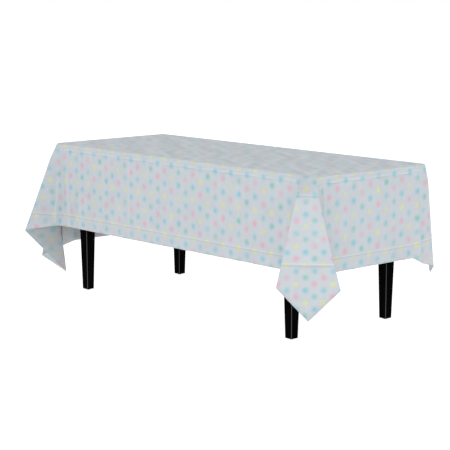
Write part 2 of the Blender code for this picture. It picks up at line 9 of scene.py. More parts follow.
import bpy
import numpy as np
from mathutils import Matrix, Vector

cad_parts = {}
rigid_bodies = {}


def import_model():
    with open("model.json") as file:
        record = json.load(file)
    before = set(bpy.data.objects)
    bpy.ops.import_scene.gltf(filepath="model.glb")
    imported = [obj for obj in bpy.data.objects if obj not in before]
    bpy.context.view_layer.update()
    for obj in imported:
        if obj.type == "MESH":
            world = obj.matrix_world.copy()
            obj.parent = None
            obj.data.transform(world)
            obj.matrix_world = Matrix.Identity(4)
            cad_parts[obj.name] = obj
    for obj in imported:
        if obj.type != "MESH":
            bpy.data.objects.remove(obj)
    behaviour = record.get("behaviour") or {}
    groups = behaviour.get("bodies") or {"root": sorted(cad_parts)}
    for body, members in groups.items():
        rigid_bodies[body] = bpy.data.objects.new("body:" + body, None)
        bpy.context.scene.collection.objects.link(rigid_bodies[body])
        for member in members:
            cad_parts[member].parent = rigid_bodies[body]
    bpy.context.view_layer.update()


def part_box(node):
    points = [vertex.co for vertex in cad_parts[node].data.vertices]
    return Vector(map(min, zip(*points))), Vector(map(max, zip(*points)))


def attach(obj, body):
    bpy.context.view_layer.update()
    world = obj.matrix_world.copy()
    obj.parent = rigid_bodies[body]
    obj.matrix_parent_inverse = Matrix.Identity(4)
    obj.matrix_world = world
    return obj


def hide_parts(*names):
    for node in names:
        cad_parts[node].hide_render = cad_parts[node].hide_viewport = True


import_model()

# ---------------------------------------------------------------- sizes

_, board_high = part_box("table_top")
_, cloth_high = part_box("tablecloth")
HALF_BOARD = np.array([board_high.x, board_high.y])
CLOTH_TOP = cloth_high.z
OFF_BOARD = 0.0025          # the film's outer face from the board's sides
FILM = 0.0006

SIDE_DROP = 0.422
LONG_END_DROP = 0.512
MARGIN = 0.045              # the ring on the top, in from the board's rim
ARRIS = 0.037               # the board's lower edge, where a line of painted highlight and shade lies on the cloth
KNEE = 0.079                # where the folded flaps break over
CREASE_ABOVE_HEM = 0.0585
FLAP_CREASE = 0.353

EDGE_SOFT, LINE_SOFT = 0.008, 0.004
SOFT = {"panel": 0.015, "valley": 0.012, "edge": 0.006, "tip": 0.0}
RIM_CORNER_SOFT = 0.026
TOP_STEPS = 13              # places from the slit along the middle out to the inner ring
SLIT_OFF_MIDDLE = 0.004
COLUMN_STEP, LONG_COLUMN_STEP = 0.0112, 0.022
LONG_STRETCH = 0.5          # a stretch of hem past this length takes the longer step
CLOSEST_COLUMNS = 0.0009
NEAR_FOLD = np.array([0.35, 0.7, 1.0])      # extra columns beside a fold, in shares of its softness
SAME_PLACE = 1e-6
TOP_ROWS_OF_SKIRT = 6       # the skirt's rows whose print still belongs to the top
MM = 0.001
PACKING_CREASES = (-0.730, -0.343, 0.044, 0.431, 0.818)
# Soft folds: the side, the place along it, its lean, its half width and its height
SOFT_FOLDS = (("front", -0.860, 0.06, 0.012, 0.0030), ("front", -0.690, -0.05, 0.010, 0.0020),
              ("front", 0.600, 0.25, 0.010, 0.0026), ("front", 0.200, -0.30, 0.008, 0.0016),
              ("end", 0.290, 0.05, 0.013, 0.0050), ("end", 0.130, 0.05, 0.014, 0.0020))

# Print: columns by distance across to the third power, rows by distance down and across, and then
# the spacing of the columns, the spacing down a column and the dot's radius
FRONT_PRINT = ((1.415, 19.80, -0.766, -0.117), (-6.092, 16.73, 0.057), (0.0505, 0.0598, 0.0120))
END_PRINT = ((-2.487, 19.12, 0.348, 0.0), (-6.083, 16.37, 0.194), (0.0521, 0.0611, 0.0120))
FLAP_PRINT = ((3.080, 26.23, 0.0, 0.0), (-6.977, 19.80, 0.400), (0.0381, 0.0525, 0.0105))
PLAIN_PRINT = ((0.4, 19.60, 0.0, 0.0), (-6.092, 16.73, 0.0), (0.0510, 0.0598, 0.0120))

CORNERS = {"front_left": (-1, -1), "front_right": (1, -1), "back_right": (1, 1), "back_left": (-1, 1)}
WALK = {"front_left": ((0, -1), (-1, 0)), "front_right": ((1, 0), (0, -1)),
        "back_right": ((0, 1), (1, 0)), "back_left": ((-1, 0), (0, 1))}


# ---------------------------------------------------------------- camera, light and floor

CAMERA_PLACE = (5.3536, -4.8670, 1.5395)
CAMERA_DEGREES = (80.93, 0.0, 47.92)
LENS, SENSOR = 121.87, 36.0


def set_camera():
    """A long lens off the front right corner, looking slightly down."""
    data = bpy.data.cameras.new("camera")
    data.lens = LENS
    data.sensor_width = SENSOR
    data.clip_end = 60.0
    camera = bpy.data.objects.new("camera", data)
    bpy.context.scene.collection.objects.link(camera)
    camera.location = CAMERA_PLACE
    camera.rotation_euler = [math.radians(turn) for turn in CAMERA_DEGREES]
    bpy.context.scene.camera = camera


def area_light(name, place, aim_at, size, power):
    """A round lamp turned to face a point: tilted by the angle off straight down, then swung round."""
    data = bpy.data.lights.new(name, "AREA")
    data.shape = "DISK"
    data.size = size
    data.energy = power
    light = bpy.data.objects.new(name, data)
    bpy.context.scene.collection.objects.link(light)
    light.location = place
    way = np.array(aim_at, float) - np.array(place, float)
    flat = math.hypot(way[0], way[1])
    light.rotation_euler = (math.atan2(flat, -way[2]), 0.0, math.atan2(-way[0], way[1]))


def set_studio():
    """White room light all round, a soft key from the near corner and a plain white floor."""
    scene = bpy.context.scene
    scene.view_settings.view_transform = "Standard"
    world = bpy.data.worlds.new("studio")
    scene.world = world
    world.use_nodes = True
    tree = world.node_tree
    tree.nodes.clear()
    out = tree.nodes.new("ShaderNodeOutputWorld")
    mix = tree.nodes.new("ShaderNodeMixShader")
    seen = tree.nodes.new("ShaderNodeLightPath")
    room = tree.nodes.new("ShaderNodeBackground")
    shown = tree.nodes.new("ShaderNodeBackground")
    room.inputs["Color"].default_value = (0.97, 0.985, 1.0, 1.0)
    room.inputs["Strength"].default_value = 0.86
    shown.inputs["Color"].default_value = (1.0, 1.0, 1.0, 1.0)
    shown.inputs["Strength"].default_value = 1.0
    tree.links.new(seen.outputs["Is Camera Ray"], mix.inputs["Fac"])
    tree.links.new(room.outputs[0], mix.inputs[1])
    tree.links.new(shown.outputs[0], mix.inputs[2])
    tree.links.new(mix.outputs[0], out.inputs["Surface"])
    area_light("key", place=(4.2, -4.0, 3.0), aim_at=(0.5, 0.0, 0.5), size=2.4, power=68)

    reach = 14.0
    mesh = bpy.data.meshes.new("floor")
    mesh.from_pydata([(-reach, -reach, 0), (reach, -reach, 0), (reach, reach, 0), (-reach, reach, 0)],
                     [], [(0, 1, 2, 3)])
    floor = bpy.data.objects.new("floor", mesh)
    scene.collection.objects.link(floor)
    paint = bpy.data.materials.new("pale_floor")
    paint.use_nodes = True
    shader = paint.node_tree.nodes["Principled BSDF"]
    shader.inputs["Base Color"].default_value = (0.35, 0.35, 0.35, 1.0)
    shader.inputs["Roughness"].default_value = 0.9
    shader.inputs["Specular IOR Level"].default_value = 0.0
    shader.inputs["Emission Color"].default_value = (1.0, 1.0, 1.0, 1.0)
    shader.inputs["Emission Strength"].default_value = 0.92
    mesh.materials.append(paint)


# ---------------------------------------------------------------- the cloth's folds

def corner_folds():
    """Each corner's folds, met while walking round the hem with the table on the left.

    A fold is (kind, rim, knee, hem). The points give the distance past the corner along the side just
    walked, the distance out from that side and, for knee and hem, the height below the cloth's top.
    """
    side, left, knee = -SIDE_DROP, -LONG_END_DROP, -KNEE

    def full_flap(drop, tip_below, edge_below):
        return [
            ("panel", (-0.20, 0), None, (-0.20, 0, side)),
            ("valley", (-0.092, 0), (-0.066, 0.001, knee), (-0.022, 0.001, side)),
            ("edge", (-0.087, 0), (-0.033, 0.082, knee), (-0.010, 0.222, side - 0.022)),
            ("tip", (-0.043, 0), (0.001, 0.050, knee), (0.114, 0.154, drop - tip_below)),
            ("edge", (0, 0), (0.035, 0.018, knee), (0.192, 0.0415, drop - edge_below)),
            ("valley", (0, -0.056), (0.003, -0.050, knee), (0.001, -0.034, drop)),
            ("panel", (0, -0.18), None, (0, -0.18, drop)),
        ]

    return {
        "front_left": [
            ("panel", (-0.24, 0), None, (-0.24, 0, left)),
            ("valley", (-0.075, 0), (-0.074, 0.001, knee), (-0.100, 0.002, left)),
            ("edge", (-0.055, 0), (-0.040, 0.050, knee), (0.0, 0.155, left - 0.086)),
            ("tip", (-0.028, 0), (0.002, 0.030, knee), (-0.091, 0.0655, left - 0.1715)),
            ("edge", (0, 0), (0.040, 0.009, knee), (0.158, 0.075, side - 0.018)),
            ("valley", (0, -0.035), (0.003, -0.020, knee), (0.003, 0.0295, side - 0.008)),
            ("panel", (0, -0.07), None, (0.001, -0.02, side)),
            ("panel", (0, -0.15), None, (0, -0.15, side)),
        ],
        "front_right": full_flap(side, 0.156, 0.029),
        "back_right": [
            ("panel", (-0.18, 0), None, (-0.18, 0, side)),
            ("panel", (-0.07, 0), None, (-0.072, 0.002, side)),
            ("panel", (-0.035, 0), (-0.030, 0.003, knee), (-0.030, 0.013, side - 0.026)),
            ("edge", (0, 0), (0.020, 0.004, knee), (0.128, -0.046, side - 0.068)),
            ("tip", (0, -0.03), None, (0.200, -0.129, side - 0.118)),
            ("edge", (0, -0.06), None, (0.206, -0.155, side - 0.038)),
            ("valley", (0, -0.085), None, (0.001, -0.190, side)),
            ("panel", (0, -0.32), None, (0, -0.32, side)),
        ],
        "back_left": full_flap(left, 0.100, 0.025),
    }


LEVELS = np.array([0.0, MARGIN, MARGIN + ARRIS, MARGIN + KNEE, MARGIN + SIDE_DROP - CREASE_ABOVE_HEM,
                   MARGIN + SIDE_DROP])
LEVEL_SOFT = np.array([0.0, EDGE_SOFT, LINE_SOFT, LINE_SOFT, LINE_SOFT, 0.0])


def to_world(name, along, out, below):
    """A corner's own distances as a point in the table's frame."""
    walk, outward = (np.array(d, float) for d in WALK[name])
    plan = np.array(CORNERS[name]) * (HALF_BOARD + OFF_BOARD) + along * walk + out * outward
    return np.array([plan[0], plan[1], CLOTH_TOP + below])


def levels_of(name, fold):
    """One fold's point at every level: inner ring, rim, board's arris, knee, low crease and hem."""
    _, rim, knee, hem = fold
    top, foot = np.array([*rim, 0.0]), np.array(hem)
    bend = np.array(knee) if knee else top + (foot - top) * KNEE / -foot[2]
    arris = top + (bend - top) * ARRIS / -bend[2]
    flap = abs(hem[1]) > abs(rim[1]) + SOFT["edge"]
    crease_below = FLAP_CREASE if flap else -foot[2] - CREASE_ABOVE_HEM
    crease = bend + (foot - bend) * (crease_below + bend[2]) / (bend[2] - foot[2])
    own = [to_world(name, *point) for point in (top, arris, bend, crease, foot)]
    half = HALF_BOARD + OFF_BOARD - MARGIN
    inner = np.array([*np.clip(own[0][:2], -half, half), CLOTH_TOP])
    return [inner, *own]


def softened(points, marks, at, softness):
    """A line through points at their marks, read at places and averaged over plus and minus a softness."""
    offsets = np.linspace(-1, 1, 9)
    places = at[:, None] + softness[:, None] * offsets
    return np.stack([np.interp(places, marks, points[:, axis]).mean(1) for axis in range(3)], 1)


def ring_places(marks, soft, crease_marks):
    """Where the columns stand: evenly along each stretch, closer where it meets a fold or crease."""
    places = [marks[:-1]]
    for start, end, near, far in zip(marks, marks[1:], soft, np.roll(soft, -1)):
        long_panel = end - start > LONG_STRETCH
        count = max(2, int((end - start) / (LONG_COLUMN_STEP if long_panel else COLUMN_STEP)))
        places.append(np.linspace(start, end, count, endpoint=False))
        places.append(start + near * NEAR_FOLD)
        places.append(end - far * NEAR_FOLD)
    for mark in crease_marks:
        places.append(mark + MM * np.array([-6, -3, -1.2, 0, 1.2, 3, 6]))
    found = np.unique(np.round(np.concatenate(places), 5))
    return found[np.concatenate([[True], np.diff(found) > CLOSEST_COLUMNS])]


def row_places():
    """Where the rows stand: close over the board's edge, its arris, the knee and the low crease."""
    edge = LEVELS[1] + EDGE_SOFT * np.linspace(-1, 1, 9)
    arris = LEVELS[2] + MM * np.array([-5, -2, 0, 2, 5])
    knee = LEVELS[3] + MM * np.array([-9, -7, -4, -1.5, 0.5, 2, 4])
    crease = LEVELS[4] + MM * np.array([-7.5, -5, -3.5, -2, -0.6, 0.8, 2.2, 3.6, 5.5])
    return np.concatenate([[0, 0.018], edge, [0.058, 0.063, 0.068, 0.072], arris, [0.103], knee,
                           np.linspace(LEVELS[3] + 0.018, LEVELS[4] - 0.020, 15), crease,
                           [LEVELS[4] + 0.018, LEVELS[4] + 0.034, LEVELS[5] - 0.012, LEVELS[5]]])


def waves(x, y, seed, count, shortest, longest, lean=None):
    """A sum of sine waves with seeded directions, lengths and phases, about plus and minus one."""
    dice = np.random.RandomState(seed)
    total = np.zeros_like(x)
    for _ in range(count):
        turn = dice.uniform(0, math.pi) if lean is None else lean + dice.uniform(-0.5, 0.5)
        length = math.exp(dice.uniform(math.log(shortest), math.log(longest)))
        phase = dice.uniform(0, 2 * math.pi)
        total += np.sin(2 * math.pi * (x * math.cos(turn) + y * math.sin(turn)) / length + phase)
    return total / math.sqrt(count)


def bell(distance, width):
    """A smooth bump of height one: e to the minus square of distance over width."""
    return np.exp(-(distance / width) ** 2)


def crease_places(names, marks, hem):
    """Ring places of the pressed upright creases, where each one's X falls on the front or back panel."""
    corner = [name for name, _ in names]
    found = []
    for first, second in (("front_left", "front_right"), ("back_right", "back_left")):
        a = len(corner) - 1 - corner[::-1].index(first)
        b = corner.index(second)
        for x in PACKING_CREASES:
            share = (x - hem[a, 0]) / (hem[b, 0] - hem[a, 0])
            if 0 < share < 1:
                found.append(marks[a] + share * (marks[b] - marks[a]))
    return found


def skirt_grid():
    """The cloth from its inner ring to the hem, with the places of its columns, rows and flap edges.

    Every level is a line round the table through the folds' points, and every column is a line down
    through the levels. Both lines are averaged over a short softness, which rounds their bends.
    """
    folds_of = corner_folds()
    names = [(name, fold) for name in CORNERS for fold in folds_of[name]]
    folds = np.array([levels_of(name, fold) for name, fold in names])
    soft = np.array([SOFT[fold[0]] for _, fold in names])
    hem = folds[:, -1]
    marks = np.concatenate([[0], np.cumsum(np.linalg.norm(np.roll(hem, -1, 0) - hem, axis=1))])
    columns = ring_places(marks, soft, crease_places(names, marks, hem))
    columns = columns[columns < marks[-1] - CLOSEST_COLUMNS]
    ring, own = marks[-1], marks[:-1]
    rim_own = [RIM_CORNER_SOFT if fold[1] == (0, 0) else SOFT[fold[0]] for _, fold in names]
    wrapped = np.concatenate([own - ring, own, own + ring])
    hem_soft = np.interp(columns, wrapped, np.tile(soft, 3))
    rim_soft = np.interp(columns, wrapped, np.tile(rim_own, 3))
    rails = []
    for level in range(len(LEVELS)):
        share = level / (len(LEVELS) - 1)
        softness = rim_soft * (1 - share) + hem_soft * share
        rails.append(softened(np.tile(folds[:, level], (3, 1)), wrapped, columns, softness))
    rows = row_places()
    row_soft = np.interp(rows, LEVELS, LEVEL_SOFT)
    skirt = np.stack([softened(rail, LEVELS, rows, row_soft) for rail in np.stack(rails, 1)])
    edges = [marks[i] for i, (_, fold) in enumerate(names) if fold[0] == "edge"]
    return skirt, columns, rows, edges, ring


def top_rings(inner):
    """Rings that close the top, each a share of the way from the inner ring to a slit along the middle."""
    spine = HALF_BOARD[0] - HALF_BOARD[1]
    middle = np.stack([np.clip(inner[:, 0], -spine, spine), SLIT_OFF_MIDDLE * np.sign(inner[:, 1]),
                       inner[:, 2]], 1)
    shares = np.linspace(1, 0, TOP_STEPS)[:-1, None]
    return inner[:, None] + (middle - inner)[:, None] * shares


def outward(grid):
    """Each point's normal, from the cross product of the steps round and down the grid."""
    around = np.roll(grid, -1, 0) - np.roll(grid, 1, 0)
    down = np.gradient(grid, axis=1)
    normal = np.cross(down, around)
    return normal / np.maximum(np.linalg.norm(normal, axis=2, keepdims=True), 1e-12)


def away_from_folds(columns, edges, ring):
    """Each column's distance round the hem from the nearest edge of a flap."""
    gap = np.abs(columns[:, None] - np.array(edges)[None])
    return np.minimum(gap, ring - gap).min(1)


def on_flap(columns, edges):
    """One on the columns of a flap's face, between its two edges, and none elsewhere."""
    inside = np.zeros(len(columns))
    for start, stop in zip(edges[::2], edges[1::2]):
        inside[(columns >= start) & (columns <= stop)] = 1
    return inside


HANG_GROWS_OVER = 0.20      # below the board, the height over which the hanging folds reach full depth
LONG_FOLD_DEPTH, RIPPLE_DEPTH = 0.0016, 0.0009
HOLLOW_BESIDE = 1.6         # each soft fold's hollow lies this many half widths to its side
CALM_REACH = 0.09           # the hanging folds fade out this near a flap's edge


def relief(grid, calm):
    """How far each point stands out, fading towards the flaps: hanging folds, ripples and soft folds.

    A soft fold is one bell less a second bell beside it, times its height.
    """
    x, y, z = grid[..., 0], grid[..., 1], grid[..., 2]
    hang = np.clip((CLOTH_TOP - z - ARRIS) / HANG_GROWS_OVER, 0, 1) * calm
    long_folds = waves(x + y, z, seed=11, count=9, shortest=0.11, longest=0.42, lean=0.0)
    ripples = waves(x - y, z, seed=12, count=14, shortest=0.03, longest=0.11)
    stands = hang * (LONG_FOLD_DEPTH * long_folds + RIPPLE_DEPTH * ripples)
    front, end = y < -HALF_BOARD[1], x > HALF_BOARD[0]
    for where, place, lean, width, height in SOFT_FOLDS:
        side, across = (front, x) if where == "front" else (end, y)
        line = across - place - lean * (CLOTH_TOP - z)
        hollow = bell(line - HOLLOW_BESIDE * width, width)
        stands += side * hang * height * (bell(line, width) - hollow)
    return stands


# Painted highlight and shade of the creases: each line has a pale painted highlight stroke and a dark painted
# shade stroke, given as strength, place past the line and half width
CREASE_PAINTED_HIGHLIGHT, CREASE_PAINTED_SHADE = (0.7, -0.0035, 0.0022), (1.0, 0.0012, 0.0022)
BOARD_LINE_PAINTED_HIGHLIGHT, BOARD_LINE_PAINTED_SHADE = (0.65, -0.0055, 0.004), (0.9, 0.0, 0.002)
KNEE_PAINTED_HIGHLIGHT, KNEE_PAINTED_SHADE = (0.9, -0.005, 0.0032), (0.9, 0.0012, 0.0022)
# painted light and dark streaks of the pull marks, and the pale painted highlight lines of the packing
# creases with their half width
PULL_PAINTED_SHADING, PACKING_PAINTED_HIGHLIGHT, PACKING_WIDTH = 0.30, 0.30, 0.002


def stroke(distance, made):
    """A bell across a line, from its strength, place and half width."""
    strength, place, width = made
    return strength * bell(distance - place, width)


def pressed(grid, rows, flap, calm):
    """Painted highlight and shade of the creases as a tone from minus one, painted shade, to plus one,
    painted highlight.

    They are painted on the low crease everywhere, the board's line and its pull marks off the flaps, and the
    knee on the flaps. The upright packing creases on the front and back get pale painted highlight lines.
    """
    skirt = grid[:, -len(rows):]
    x, y = skirt[..., 0], skirt[..., 1]
    crease, line, knee = rows - LEVELS[4], rows - LEVELS[2], rows - LEVELS[3]
    # painted highlight just above the low crease and painted shade just below it
    painted_shading = np.ones_like(x) * (stroke(crease, CREASE_PAINTED_HIGHLIGHT) - stroke(crease, CREASE_PAINTED_SHADE))
    along = x + y
    weight = 0.75 + 0.35 * waves(along, 0 * along, seed=21, count=8, shortest=0.08, longest=0.5, lean=0.0)
    off_flap = 1 - flap[:, None]
    painted_shading += off_flap * (stroke(line, BOARD_LINE_PAINTED_HIGHLIGHT) - stroke(line, BOARD_LINE_PAINTED_SHADE)) * weight
    # painted light and dark streaks for the pull marks, in the band from the board's rim to its lower edge
    band = (rows > LEVELS[1] - 0.012) & (rows < LEVELS[2] + 0.010)
    bent_rows = rows + 0.004 * np.sin(along * 23)
    pulls = waves(along * 0.35, bent_rows, seed=22, count=10, shortest=0.010, longest=0.022, lean=1.5)
    painted_shading += PULL_PAINTED_SHADING * band * np.clip(pulls, -1, 1.2) * off_flap
    painted_shading += flap[:, None] * (stroke(knee, KNEE_PAINTED_HIGHLIGHT) - stroke(knee, KNEE_PAINTED_SHADE))
    # pale painted highlight lines down the upright packing creases
    down = np.clip((CLOTH_TOP - skirt[..., 2]) / 0.05, 0, 1)
    for place in PACKING_CREASES:
        on_side = abs(y) > HALF_BOARD[1] - 0.004
        painted_shading += PACKING_PAINTED_HIGHLIGHT * down * bell(x - place, PACKING_WIDTH) * on_side * calm
    return painted_shading


TOP_BAND = 0.02             # the top's wrinkles fade out this near the board's rim
WRINKLE_HEIGHT, WRINKLE_SINK, WRINKLE_PAINTED_SHADE = 0.0008, 0.0007, 0.50


def cloth_points():
    """Every point of the cloth, its painted highlight and shade of creases and wrinkles, its share of the
    top, and how the grid is laid out.

    The top's wrinkles are two sums of waves across places that a third sum bends. They lift the top by their
    height less a small sink, and also set its painted highlight and shade.
    """
    skirt, columns, rows, edges, ring = skirt_grid()
    rings = top_rings(skirt[:, 0])
    grid = np.concatenate([rings, skirt], 1)
    first = rings.shape[1]
    calm = np.clip(away_from_folds(columns, edges, ring) / CALM_REACH, 0, 1)[:, None]
    flap = on_flap(columns, edges)
    grid = grid + outward(grid) * relief(grid, calm)[..., None]
    x, y = grid[..., 0], grid[..., 1]
    from_rim = np.minimum(HALF_BOARD[0] - abs(x), HALF_BOARD[1] - abs(y))
    top = np.clip(from_rim / TOP_BAND, 0, 1) * (CLOTH_TOP - grid[..., 2] < 0.004)
    bent = x + 0.02 * waves(y, x, seed=5, count=3, shortest=0.2, longest=0.5)
    broad = waves(bent, y, seed=3, count=12, shortest=0.07, longest=0.24, lean=0.9)
    fine = waves(bent, y, seed=4, count=14, shortest=0.035, longest=0.08, lean=0.75)
    wrinkle = 0.7 * broad + 0.5 * fine
    grid[..., 2] += top * (WRINKLE_HEIGHT * np.clip(wrinkle, -1.6, 1.6) - WRINKLE_SINK)
    # the wrinkles also paint highlight and shade into the top's colour
    painted_shading = WRINKLE_PAINTED_SHADE * top * np.clip(wrinkle, -1.5, 1.5)
    painted_shading[:, first:] += pressed(grid, rows, flap, calm)
    return grid, painted_shading, top * np.ones_like(painted_shading), first, columns, edges


# ---------------------------------------------------------------- print mapping

def lattice(across, down, made):
    """Print coordinates in columns and rows of dots, from metres across and down."""
    columns, rows, _ = made
    column = columns[0] + across * (columns[1] + across * (columns[2] + across * columns[3]))
    return np.stack([column, rows[0] + rows[1] * down + rows[2] * across], -1)


def between(columns, start, stop):
    """The columns from one ring place to another, which may lie past the ring's end."""
    if stop > start:
        return np.where((columns >= start - SAME_PLACE) & (columns < stop - SAME_PLACE))[0]
    before_end = np.where(columns >= start - SAME_PLACE)[0]
    past_end = np.where(columns < stop - SAME_PLACE)[0]
    return np.concatenate([before_end, past_end])


def quad_corners(a, b):
    """The four corners' values of each quad between two neighbouring columns of points."""
    return np.stack([a[:, :-1], a[:, 1:], b[:, 1:], b[:, :-1]], 2)


def cloth_faces(grid, first, columns, edges):
    """Quads, each one's print coordinates at its corners and its print's pitch.

    The ring is cut into eight stretches at the flaps' edges. A side's stretch measures across along
    the cloth, from its middle column outwards. A flap's measures along its own width.
    """
    count, depth, _ = grid.shape
    index = np.arange(count * depth).reshape(count, depth)
    quads = quad_corners(index[..., None], np.roll(index, -1, 0)[..., None])[..., 0]
    below = CLOTH_TOP - grid[..., 2]
    steps = np.linalg.norm(np.roll(grid, -1, 0) - grid, axis=2)
    uv = np.zeros((count, depth - 1, 4, 2))
    pitch = np.zeros((count, depth - 1, 3))
    order = list(CORNERS)
    prints = {"front_left": FRONT_PRINT, "front_right": END_PRINT,
              "back_right": PLAIN_PRINT, "back_left": PLAIN_PRINT}
    for k, name in enumerate(order):
        sign = np.array(CORNERS[name], float)
        width_way = np.array([-sign[1], sign[0]]) / math.sqrt(2)
        chosen = between(columns, edges[2 * k], edges[2 * k + 1])
        around = np.append(chosen, (chosen[-1] + 1) % count)
        across = (grid[around][..., :2] - sign * (HALF_BOARD + OFF_BOARD)) @ width_way
        mapped = lattice(across, below[around], FLAP_PRINT)
        uv[chosen] = quad_corners(mapped[:-1], mapped[1:])
        pitch[chosen] = FLAP_PRINT[2]

        chosen = between(columns, edges[2 * k + 1], edges[(2 * k + 2) % 8])
        around = np.append(chosen, (chosen[-1] + 1) % count)
        far = np.concatenate([np.zeros((1, depth)), np.cumsum(steps[chosen], 0)])
        middle = len(around) // 2
        walk = np.array(WALK[order[(k + 1) % 4]][0], float)
        start = 0.0 if name == "front_left" else HALF_BOARD[1] + OFF_BOARD
        across = far - far[middle] + grid[around[middle]][:, :2] @ walk + start
        mapped = lattice(across, below[around], prints[name])
        uv[chosen] = quad_corners(mapped[:-1], mapped[1:])
        pitch[chosen] = prints[name][2]
    # the top continues the front's columns and rows over the edge
    on_top = first + TOP_ROWS_OF_SKIRT
    mapped = lattice(grid[..., 0], -(grid[..., 1] + HALF_BOARD[1] + OFF_BOARD), FRONT_PRINT)
    uv[:, :on_top] = quad_corners(mapped, np.roll(mapped, -1, 0))[:, :on_top]
    pitch[:, :on_top] = FRONT_PRINT[2]
    return quads.reshape(-1, 4), uv.reshape(-1, 2), pitch.reshape(-1, 3), index[:, 0]


def make_cloth():
    """The cloth as one mesh with a film's wall: the skirt and top as quads and one face over the slit."""
    grid, painted_shading, flat, first, columns, edges = cloth_points()
    quads, uv, pitch, slit = cloth_faces(grid, first, columns, edges)
    mesh = bpy.data.meshes.new("film_cloth")
    mesh.from_pydata(grid.reshape(-1, 3), [], quads.tolist() + [slit.tolist()])
    slit_uv = lattice(grid[:, 0, 0], -(grid[:, 0, 1] + HALF_BOARD[1] + OFF_BOARD), FRONT_PRINT)
    layer = mesh.uv_layers.new(name="print")
    layer.data.foreach_set("uv", np.concatenate([uv, slit_uv]).astype(np.float32).ravel())
    size = mesh.attributes.new("dot_pitch", "FLOAT_VECTOR", "FACE")
    pitches = np.concatenate([pitch, [FRONT_PRINT[2]]])
    size.data.foreach_set("vector", pitches.astype(np.float32).ravel())
    shade = mesh.attributes.new("pressed", "FLOAT", "POINT")
    shade.data.foreach_set("value", painted_shading.astype(np.float32).ravel())
    level = mesh.attributes.new("on_top", "FLOAT", "POINT")
    level.data.foreach_set("value", flat.astype(np.float32).ravel())
    mesh.shade_smooth()
    normals = np.zeros(len(mesh.polygons) * 3)
    mesh.polygons.foreach_get("normal", normals)
    if normals[-1] < 0:
        mesh.flip_normals()
    mesh.materials.append(film_material("printed_film", outer=True))
    mesh.materials.append(film_material("film_inner_face", outer=False))
    cloth = bpy.data.objects.new("film_cloth", mesh)
    bpy.context.scene.collection.objects.link(cloth)
    wall = cloth.modifiers.new("film", "SOLIDIFY")
    wall.thickness = FILM
    wall.offset = -1
    wall.use_even_offset = False
    wall.material_offset = 1
    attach(cloth, "tablecloth")
    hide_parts("tablecloth")


# ---------------------------------------------------------------- finishes

class Graph:
    """Short calls for adding nodes to one tree and joining them."""

    def __init__(self, tree):
        self.tree = tree

    def add(self, kind, settings=None, **inputs):
        node = self.tree.nodes.new(kind)
        for name, value in (settings or {}).items():
            setattr(node, name, value)
        for name, value in inputs.items():
            numbered = name[0] == "i" and name[1:].isdigit()
            key = int(name[1:]) if numbered else name.replace("_", " ")
            self.put(node.inputs[key], value)
        return node

    def put(self, socket, value):
        if isinstance(value, bpy.types.NodeSocket):
            self.tree.links.new(value, socket)
        else:
            socket.default_value = value

    def sum(self, operation, a, b=0.0, c=0.0):
        return self.add("ShaderNodeMath", {"operation": operation}, i0=a, i1=b, i2=c).outputs[0]

    def mixed(self, share, a, b, blend="MIX"):
        settings = {"data_type": "RGBA", "blend_type": blend}
        return self.add("ShaderNodeMix", settings, i0=share, i6=a, i7=b).outputs[2]


def group(name, inputs, outputs):
    """An empty node group with named sockets: its graph, its inputs and its output node."""
    tree = bpy.data.node_groups.new(name, "ShaderNodeTree")
    for socket, kind in inputs:
        tree.interface.new_socket(socket, in_out="INPUT", socket_type="NodeSocket" + kind)
    for socket, kind in outputs:
        tree.interface.new_socket(socket, in_out="OUTPUT", socket_type="NodeSocket" + kind)
    return Graph(tree), tree.nodes.new("NodeGroupInput").outputs, tree.nodes.new("NodeGroupOutput").inputs


PINK, BLUE, TEAL, YELLOW = (0.63, 0.37, 0.44), (0.24, 0.49, 0.56), (0.22, 0.48, 0.45), (0.58, 0.59, 0.34)
COLUMN_COLOURS, ROW_COLOURS = 4, 3
DOT_ORDER = (YELLOW, PINK, BLUE, PINK, BLUE, YELLOW, YELLOW, TEAL, BLUE, TEAL, BLUE, PINK)
DOT_SOFTNESS = 0.70         # the blurred edge's width, as a share of the dot's radius
INK_SPREAD, INK_LEAST = 0.55, 0.70

FILM_COLOUR = (0.487, 0.535, 0.566)
WARM_TINT = (1.04, 0.985, 0.99)
# the inner face's colour is multiplied by this, as painted shade
INNER_PAINTED_SHADE = 0.76
INK_BY_CLOUD, INK_OUTER, INK_INNER = 0.9, 0.42, 0.25
TOP_INK_LOSS = 0.10
FOLD_PAINTED_SHADING_SHARE, BROAD_TONE, FINE_TONE = 0.16, 0.12, 0.13


